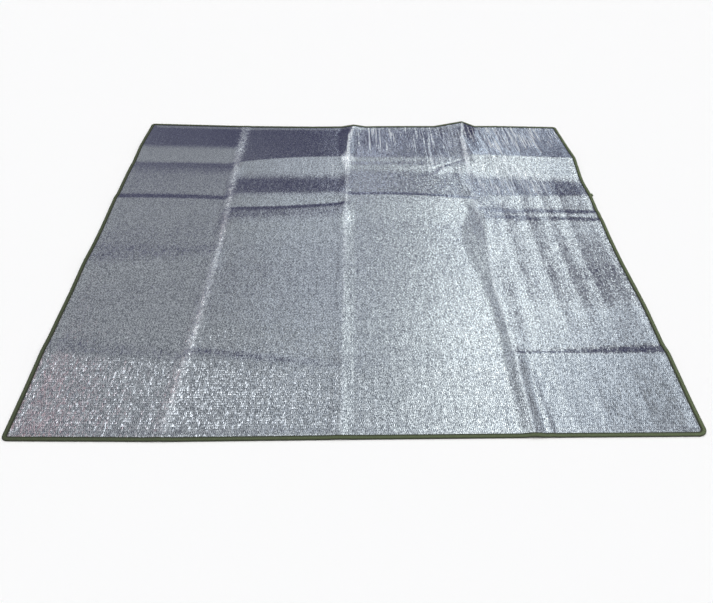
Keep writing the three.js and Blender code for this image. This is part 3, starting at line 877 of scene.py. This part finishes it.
TAPE_STEPS = 440  # lines along each side of the tape
TAPE_CORNER_STEPS = 16
STITCH_INSET = 2.6  # from the tape's inner edge to the row of stitches
STITCH_DIP = 0.5  # how deep the stitches draw the tape in
DIP_WIDTH_ABOVE, DIP_WIDTH_BELOW = 0.9, 0.6  # how far aside of the stitches they do
DOME_RISE = 0.6  # of the top between the stitches and the fold
ROLL_DEPTH, ROLL_WIDTH = 0.3, 0.4  # how the top's inner edge rolls down
ROUND_OFF = 2.4  # how far in the tape's round fold reaches
FLAT_SHARE = 0.9  # dome, dip and roll start where the fold has risen to this share of its height
FOLD_REACH = 5  # how far in a lap still moves the tape's fold outwards

# Where one end of the tape laps over the other, or a turn of it bulges: the side's axis and sign,
# the stretch along it, how much thicker it is and how far it stands out.
Lap = namedtuple("Lap", "axis sign start end rise out")
LAPS = [Lap(1, -1, 497, 530, 0.9, 0.8), Lap(0, 1, 300, 318, 1.2, 6)]
LAP_END = 2  # how long each end of a lap is


def fold_bend(inset):
    """How far the round fold has opened at an inset: a quarter circle from 0 at the outer edge to 1
    at the fold's reach."""
    return np.sqrt(np.clip(1 - (np.clip(ROUND_OFF - inset, 0, None) / ROUND_OFF) ** 2, 0, 1))


def tape_section(width):
    """The folded tape's section as insets and rises: over the top from its inner edge to the round
    fold, under the bottom, and back along the inside. The row of stitches draws both faces in by a
    bell. The last array is how much each point takes part in the tape's puckers: the sine that
    makes the top's dome, and 0 elsewhere."""
    middle = TAPE_HEIGHT / 2
    seam = width - STITCH_INSET
    # The section's points are where the shape turns: the rolled edge, the dip, the dome, the fold.
    top = np.array([width, width - 0.5, width - 1.6, seam, width - 3.6, width - 5,
                    width - 8, 4.5, 2.6, 1.4, 0.6, 0.15])
    bend = fold_bend(top)
    dome = np.sin(np.pi * np.clip(top / seam, 0, 1))
    dip = STITCH_DIP * bell(top - seam, DIP_WIDTH_ABOVE)
    roll = ROLL_DEPTH * bell(top - width, ROLL_WIDTH)
    shaped = (DOME_RISE * dome - dip - roll) * (bend > FLAT_SHARE)
    rise_top = middle + middle * bend + shaped
    bottom = np.array([0.15, 0.6, 1.4, 2.6, width - 4.2, seam - 0.6, seam, seam + 0.6,
                       width - 1, width])
    dip_below = STITCH_DIP * bell(bottom - seam, DIP_WIDTH_BELOW)
    rise_bottom = middle - middle * fold_bend(bottom) + dip_below
    inner = np.array([width, TAPE_EDGE, TAPE_EDGE, width])
    rise_inner = np.array([TAPE_LAYER] * 2 + [TAPE_HEIGHT - TAPE_LAYER] * 2)
    inset = np.concatenate([top, [0], bottom, inner])
    rise = np.concatenate([rise_top, [middle], rise_bottom, rise_inner])
    pucker = np.concatenate([dome, np.zeros(len(inset) - len(top))])
    return inset, rise, pucker


def tape_pucker(stations):
    """How far the tape's dome swells at each station: the sum of two sine waves, 37 and 23.7 mm
    long, and round the corners a third, 5 mm long, for the gathers."""
    turns = 2 * np.pi * stations.distance[:-1]
    slow = 0.18 * np.sin(turns / 37) + 0.12 * np.sin(turns / 23.7 + 1)
    return slow + stations.is_corner * 0.35 * np.sin(turns / 5)


def lap_share(lap, stations):
    """1 along a lap and 0 beyond it, with a smooth step at each end."""
    on_side = stations.place[:, lap.axis] * lap.sign > HALF - 1
    along = stations.place[:, 1 - lap.axis]
    begun = smooth_step(along, lap.start, lap.start + LAP_END)
    not_over = smooth_step(-along, -lap.end - LAP_END, -lap.end)
    return on_side * begun * not_over


def tape_stations():
    """The stations at which the tape's section is set, and along which the stitches run."""
    lines = np.linspace(-EDGE_LINE, EDGE_LINE, TAPE_STEPS)
    return edge_stations(lines, lines, TAPE_CORNER_STEPS)


class MESH_OT_camping_mat_tape(bpy.types.Operator):
    """Builds the folded tape round the edge"""

    bl_idname = "mesh.camping_mat_tape"
    bl_label = "Edge Tape"

    def execute(self, context):
        settings = context.scene.camping_mat_tape
        stations = tape_stations()
        inset, rise, pucker = tape_section(settings.width / MM)
        inset = np.tile(inset, (len(stations.place), 1))
        rise = rise + pucker * tape_pucker(stations)[:, None]
        for lap in LAPS:
            share = lap_share(lap, stations)[:, None]
            inset = inset - share * lap.out * (inset < FOLD_REACH)
            rise = rise + share * lap.rise * (pucker > 0)
        flat = stations.place[:, None] + stations.inwards[:, None] * inset[..., None]
        flat = flat + stations.shift[:, None]
        height = stations.height[:, None] + rise
        points = np.concatenate([flat, height[..., None]], axis=-1)
        count, around = height.shape
        number = np.arange(count * around).reshape(count, around)
        ahead, beside = np.roll(number, -1, axis=0), np.roll(number, -1, axis=1)
        both = np.roll(ahead, -1, axis=1)
        quads = np.stack([number, beside, both, ahead], axis=-1).reshape(-1, 4)
        # On the flat, the tape is as long as its way round the mat and as wide as its section is
        # round.
        girth = np.concatenate([[0], np.cumsum(np.hypot(
            np.roll(inset[0], -1) - inset[0], np.roll(rise[0], -1) - rise[0]))])
        along, across = np.meshgrid(stations.distance, girth, indexing="ij")
        uv = np.stack([along, across], axis=-1)
        corner_uv = np.stack([uv[:-1, :-1], uv[:-1, 1:], uv[1:, 1:], uv[1:, :-1]], axis=2)
        tape = make_object("edge_tape", points.reshape(-1, 3), quads, NO_TRIANGLES,
                           corner_uv.reshape(-1, 2), woven_tape(settings))
        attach(tape, "root")
        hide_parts("edge_binding")
        return {"FINISHED"}


THREAD_RADIUS = 0.45
THREAD_SIDES = 6
STITCH_SHARE = 0.78  # of the pitch that shows as thread, between two needle holes
FULL_SHARE = 0.6  # of the stitch's length over which the thread has its full radius
THREAD_ABOVE, THREAD_BELOW = 0.1, 0.05  # how far the thread stands out of its dip on each face
OFF_THE_GROUND = 0.02  # the least height of the thread


def stitch_ends(path, pitch):
    """The two ends of each stitch along a closed path: as many stitches of about the pitch as fit,
    each in the middle of its share of the path."""
    closed = np.vstack([path, path[:1]])
    step = np.linalg.norm(closed[1:] - closed[:-1], axis=1)
    run = np.concatenate([[0], np.cumsum(step)])
    count = round(run[-1] / pitch)
    middle = (np.arange(count) + 0.5) * run[-1] / count
    half = STITCH_SHARE * run[-1] / count / 2
    return [np.stack([np.interp(distance, run, closed[:, i]) for i in range(3)], axis=-1)
            for distance in (middle - half, middle + half)]


def stitch_rods(back, front, rise, first):
    """A rod along each stitch: a point at each end and two rings of full radius between them, a
    rise above the stitch's line. first is the number of the first point. Gives points, quads and
    triangles."""
    centre, reach = (front + back) / 2, (front - back) / 2
    length = np.linalg.norm(reach, axis=1, keepdims=True)
    side = np.cross(reach / np.maximum(length, 0.01), [0, 0, 1])[:, None]
    turn = (np.arange(THREAD_SIDES) * 2 * math.pi / THREAD_SIDES)[:, None]
    ring = (side * np.cos(turn) + np.array([0, 0, 1]) * np.sin(turn)) * THREAD_RADIUS
    centre, reach = (centre + [0, 0, rise])[:, None], reach[:, None]
    points = np.concatenate([
        centre - reach,
        centre - FULL_SHARE * reach + ring,
        centre + FULL_SHARE * reach + ring,
        centre + reach,
    ], axis=1)
    points[..., 2] = np.maximum(points[..., 2], OFF_THE_GROUND)

    start = first + np.arange(len(back))[:, None] * points.shape[1]
    here = start + 1 + np.arange(THREAD_SIDES)
    there = here + THREAD_SIDES
    end = start + 2 * THREAD_SIDES + 1
    next_here, next_there = np.roll(here, -1, axis=1), np.roll(there, -1, axis=1)
    quads = np.stack([here, next_here, next_there, there], axis=-1)
    caps = [np.stack([start + 0 * here, next_here, here], axis=-1),
            np.stack([end + 0 * here, there, next_there], axis=-1)]
    return points.reshape(-1, 3), quads.reshape(-1, 4), np.concatenate(caps).reshape(-1, 3)


class MESH_OT_camping_mat_stitches(bpy.types.Operator):
    """Builds the row of stitches that holds the tape, on both faces"""

    bl_idname = "mesh.camping_mat_stitches"
    bl_label = "Stitches"

    def execute(self, context):
        settings = context.scene.camping_mat_stitch
        width = context.scene.camping_mat_tape.width / MM
        path = edge_points(tape_stations(), width - STITCH_INSET, 0)
        back, front = stitch_ends(path, settings.pitch / MM)
        points, quads, triangles = [], [], []
        first = 0
        for rise in (TAPE_HEIGHT - STITCH_DIP + THREAD_ABOVE, STITCH_DIP - THREAD_BELOW):
            rods = stitch_rods(back, front, rise, first)
            first += len(rods[0])
            points.append(rods[0])
            quads.append(rods[1])
            triangles.append(rods[2])
        points, quads = np.concatenate(points), np.concatenate(quads)
        triangles = np.concatenate(triangles)
        corners = np.concatenate([quads.ravel(), triangles.ravel()])
        thread = make_object("tape_stitches", points, quads, triangles, points[corners, :2],
                             spun_thread(settings))
        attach(thread, "root")
        return {"FINISHED"}


# Stage ----------------------------------------------------------------------------------------

FLOOR_REACH = 30000  # from the middle of the floor to each side


class SCENE_OT_camping_mat_stage(bpy.types.Operator):
    """Builds the floor, the studio light and the camera"""

    bl_idname = "scene.camping_mat_stage"
    bl_label = "Stage"

    def execute(self, context):
        settings = context.scene.camping_mat_stage
        corners = np.array([[-1, -1, 0], [1, -1, 0], [1, 1, 0], [-1, 1, 0]]) * FLOOR_REACH
        material, tree = new_material("Matt white studio floor")
        shader = add_node(tree, "ShaderNodeBsdfDiffuse", {"Color": linear(settings.floor_hex)})
        add_node(tree, "ShaderNodeOutputMaterial", {"Surface": shader.outputs[0]})
        floor = make_object("studio_floor", corners, np.array([[0, 1, 2, 3]]), NO_TRIANGLES,
                            corners[:, :2], material)
        studio_world()
        studio_camera()
        context.scene.view_settings.view_transform = "Standard"
        return {"FINISHED"}


# The studio's colour by elevation in degrees, the same all round: pale at the horizon and darker
# above it.
Band = namedtuple("Band", "elevation colour")
BANDS = [
    Band(0, "#FAFAFA"),
    Band(4, "#A0A0AC"),
    Band(9, "#494965"),
    Band(18, "#50506C"),
    Band(24, "#6C6C82"),
    Band(30, "#A0A1A9"),
    Band(38, "#A4A6AC"),
    Band(52, "#999CA0"),
    Band(60, "#A8AAAE"),
]

# Louvred lights behind the mat: the middle and half-width of each in azimuth, the elevations
# between which it shines, and its light. Azimuth 0 is behind the back edge and 90 is to the right,
# all in degrees.
Strip = namedtuple("Strip", "azimuth width low high strength colour")
STRIPS = [
    Strip(15, 18, 36, 58, 0.48, "#EBF4FA"),
    Strip(9, 9, 31, 44, 0.46, "#F1F9F8"),
    Strip(15, 8, 31, 47, 0.55, "#F6FBF7"),
    Strip(14, 5, 42, 49, 0.66, "#FFFAF0"),
    Strip(-3, 11, 31, 46, 0.36, "#E6F0FF"),
    Strip(28, 13, 38, 58, 0.52, "#E6F0FF"),
    Strip(21, 5, 34, 43, 0.50, "#F4F8FA"),
    Strip(13, 7, 22, 37, 0.45, "#E4F0FF"),
    Strip(2, 4, 17, 25, 1.00, "#E8F0FF"),
    Strip(8, 2, 14, 22, 1.20, "#E8F4FF"),
    Strip(11.5, 2.5, 8, 21, 2.00, "#E8F4FF"),
    Strip(16, 2, 8, 18, 1.10, "#E8F4FF"),
    Strip(-19, 14, 10, 38, 0.06, "#F0F2F4"),
    Strip(-20, 50, 38, 58, 0.08, "#F0F2F4"),
    Strip(-10, 50, 55, 75, 1.10, "#F4F8FF"),
    Strip(-28, 20, 51, 75, 0.60, "#F4F6FF"),
    Strip(-42, 14, 30, 60, 0.26, "#FF8C9C"),
]
STRIP_FADE = 4  # half the degrees over which a strip fades in at its foot and out at its top
LOUVRE_ACROSS, LOUVRE_UP = 4.5, 6  # degrees from slat to slat, in azimuth and in elevation
LOUVRE_DEPTH = 0.7  # how far each sine takes a light up and down
OVERHEAD_REACH = 24  # how far the round light overhead spreads from the zenith, in degrees
OVERHEAD_FADE = 5  # half the degrees over which it fades in at its rim
OVERHEAD_STRENGTH = 2.5
OVERHEAD_HEX = "#FFFEFA"
FRONT_TURN = math.radians(40)  # how far to the right of the front the even light's middle is
FRONT_LOW, FRONT_HIGH = 6, 34  # it rises over about this many degrees from its edge
FRONT_STRENGTH = 0.7
FRONT_HEX = "#FFFCF0"


def rise_inputs(value, low, high, strength):
    """The inputs for a Map Range node that rises from 0 at low to strength at high, with low and
    high in degrees."""
    return {"Value": value, "From Min": math.radians(low), "From Max": math.radians(high),
            "To Min": 0, "To Max": strength}


def louvre_light(tree, azimuth, elevation):
    """What louvres multiply a light by: 1 plus sines of the azimuth and of the elevation."""
    slats = []
    for angle, spacing in ((azimuth, LOUVRE_ACROSS), (elevation, LOUVRE_UP)):
        turns = add_node(tree, "ShaderNodeMath", {0: angle, 1: 360 / spacing}, operation="MULTIPLY")
        slats.append(add_node(tree, "ShaderNodeMath", {0: turns.outputs[0]}, operation="SINE"))
    both = add_node(tree, "ShaderNodeMath", {0: slats[0].outputs[0], 1: slats[1].outputs[0]},
                    operation="ADD")
    return add_node(tree, "ShaderNodeMath", {0: both.outputs[0], 1: LOUVRE_DEPTH, 2: 1},
                    operation="MULTIPLY_ADD").outputs[0]


def strip_light(tree, azimuth, elevation, louvre, strip):
    """How bright a strip is in each direction: its strength less a smooth step from its middle to
    its sides, times a smooth step at its foot less one at its top, times the louvres."""
    turned = add_node(tree, "ShaderNodeMath", {0: azimuth, 1: math.radians(strip.azimuth)},
                      operation="SUBTRACT")
    aside = add_node(tree, "ShaderNodeMath", {0: turned.outputs[0]}, operation="ABSOLUTE")
    lost = add_node(tree, "ShaderNodeMapRange", rise_inputs(
        aside.outputs[0], 0, strip.width, strip.strength), interpolation_type="SMOOTHSTEP")
    glow = add_node(tree, "ShaderNodeMath", {0: strip.strength, 1: lost.outputs[0]},
                    operation="SUBTRACT")
    over, under = [
        add_node(tree, "ShaderNodeMapRange", rise_inputs(
            elevation, edge - STRIP_FADE, edge + STRIP_FADE, 1), interpolation_type="SMOOTHSTEP")
        for edge in (strip.low, strip.high)]
    span = add_node(tree, "ShaderNodeMath", {0: over.outputs[0], 1: under.outputs[0]},
                    operation="SUBTRACT")
    slatted = add_node(tree, "ShaderNodeMath", {0: span.outputs[0], 1: louvre},
                       operation="MULTIPLY")
    return add_node(tree, "ShaderNodeMath", {0: glow.outputs[0], 1: slatted.outputs[0]},
                    operation="MULTIPLY").outputs[0]


def studio_world():
    """A studio round the mat, which the foil mirrors: pale at the horizon and darker above it, with
    a round light overhead, an even one in front and louvred lights behind, all added up."""
    world = bpy.data.worlds.new("Studio")
    bpy.context.scene.world = world
    world.use_nodes = True
    tree = world.node_tree
    tree.nodes.clear()

    direction = add_node(tree, "ShaderNodeTexCoord").outputs["Generated"]
    parts = add_node(tree, "ShaderNodeSeparateXYZ", {0: direction})
    azimuth = add_node(tree, "ShaderNodeMath", {0: parts.outputs["X"], 1: parts.outputs["Y"]},
                       operation="ARCTAN2").outputs[0]
    elevation = add_node(tree, "ShaderNodeMath", {0: parts.outputs["Z"]},
                         operation="ARCSINE").outputs[0]
    bands = add_node(tree, "ShaderNodeValToRGB", {0: parts.outputs["Z"]})
    fill_ramp(bands.color_ramp, [(math.sin(math.radians(band.elevation)), linear(band.colour))
                                 for band in BANDS])

    forward = add_node(tree, "ShaderNodeVectorMath", {
        0: direction, 1: (math.sin(FRONT_TURN), -math.cos(FRONT_TURN), 0)},
        operation="DOT_PRODUCT")
    front = add_node(tree, "ShaderNodeMapRange", rise_inputs(
        forward.outputs["Value"], FRONT_LOW, FRONT_HIGH, FRONT_STRENGTH),
        interpolation_type="SMOOTHSTEP")
    edge = 90 - OVERHEAD_REACH
    overhead = add_node(tree, "ShaderNodeMapRange", rise_inputs(
        elevation, edge - OVERHEAD_FADE, edge + OVERHEAD_FADE, OVERHEAD_STRENGTH),
        interpolation_type="SMOOTHSTEP")
    louvre = louvre_light(tree, azimuth, elevation)
    lights = [(OVERHEAD_HEX, overhead.outputs[0]), (FRONT_HEX, front.outputs[0])]
    lights += [(strip.colour, strip_light(tree, azimuth, elevation, louvre, strip))
               for strip in STRIPS]
    light = bands.outputs[0]
    for colour, part in lights:
        light = add_node(tree, "ShaderNodeVectorMath", {
            0: linear(colour)[:3], 1: part, 2: light}, operation="MULTIPLY_ADD").outputs[0]
    background = add_node(tree, "ShaderNodeBackground", {"Color": light})
    add_node(tree, "ShaderNodeOutputWorld", {"Surface": background.outputs[0]})


CAMERA_PLACE = (-0.0109, -2.3567, 1.5886)  # in metres
CAMERA_TURN = 0.0091  # towards the right, in radians
CAMERA_DOWN = 0.6790  # below level, in radians
CAMERA_ROLL = 0.0035
CAMERA_LENS, SENSOR_WIDTH = 36.765, 36  # millimetres


def studio_camera():
    """A camera that stands before the front edge and looks down at the mat."""
    data = bpy.data.cameras.new("Camera")
    data.lens = CAMERA_LENS
    data.sensor_width = SENSOR_WIDTH
    data.sensor_fit = "HORIZONTAL"
    camera = bpy.data.objects.new("Camera", data)
    bpy.context.scene.collection.objects.link(camera)
    turn = Matrix.Rotation(-CAMERA_TURN, 4, "Z")
    look = Matrix.Rotation(math.pi / 2 - CAMERA_DOWN, 4, "X")
    roll = Matrix.Rotation(CAMERA_ROLL, 4, "Z")
    camera.matrix_world = Matrix.Translation(CAMERA_PLACE) @ turn @ look @ roll
    bpy.context.scene.camera = camera


class VIEW3D_PT_camping_mat(bpy.types.Panel):
    """Lists the mat's pieces"""

    bl_idname = "VIEW3D_PT_camping_mat"
    bl_label = "Camping Mat"
    bl_space_type = "VIEW_3D"
    bl_region_type = "UI"
    bl_category = "Camping Mat"

    def draw(self, context):
        for operator in OPERATORS:
            self.layout.operator(operator.bl_idname)


OPERATORS = (
    MESH_OT_camping_mat_sheet,
    MESH_OT_camping_mat_tape,
    MESH_OT_camping_mat_stitches,
    SCENE_OT_camping_mat_stage,
)
SETTINGS = {
    "camping_mat_sheet": CampingMatSheetSettings,
    "camping_mat_tape": CampingMatTapeSettings,
    "camping_mat_stitch": CampingMatStitchSettings,
    "camping_mat_stage": CampingMatStageSettings,
}


def register():
    for cls in (*SETTINGS.values(), *OPERATORS, VIEW3D_PT_camping_mat):
        bpy.utils.register_class(cls)
    for name, cls in SETTINGS.items():
        setattr(bpy.types.Scene, name, bpy.props.PointerProperty(type=cls))


def unregister():
    for name in SETTINGS:
        delattr(bpy.types.Scene, name)
    for cls in (VIEW3D_PT_camping_mat, *reversed(OPERATORS), *reversed(SETTINGS.values())):
        bpy.utils.unregister_class(cls)


def main():
    register()
    bpy.ops.mesh.camping_mat_sheet()
    bpy.ops.mesh.camping_mat_tape()
    bpy.ops.mesh.camping_mat_stitches()
    bpy.ops.scene.camping_mat_stage()


if __name__ == "__main__":
    main()
